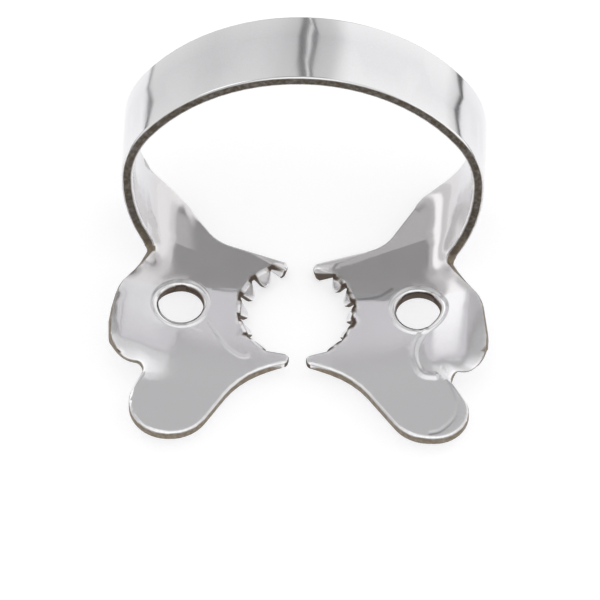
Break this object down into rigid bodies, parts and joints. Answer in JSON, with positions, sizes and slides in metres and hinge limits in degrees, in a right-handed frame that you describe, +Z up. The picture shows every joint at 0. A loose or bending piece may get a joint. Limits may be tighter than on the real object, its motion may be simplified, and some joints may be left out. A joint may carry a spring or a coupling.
{
  "type": "rubber dam clamp",
  "caption": "Sprung steel clamp for a dental rubber dam, with a wide bow, winged jaws, forceps holes and a serrated bite round the tooth.",
  "frame": {"origin": "under the middle of the clamp, on the mid-plane between its two jaws and on the level surface that it stands on with its jaws down", "axes": "X runs across the jaws from one to the other, Y runs from the front toes back towards the bow, Z runs up through the bow, square to the jaws' flat top face"},
  "size_m": [0.018, 0.017, 0.0124],
  "materials": {
    "polished_steel": "polished stainless spring steel"
  },
  "bodies": {
    "root": {"clamp_body": "polished_steel"}
  },
  "joints": []
}
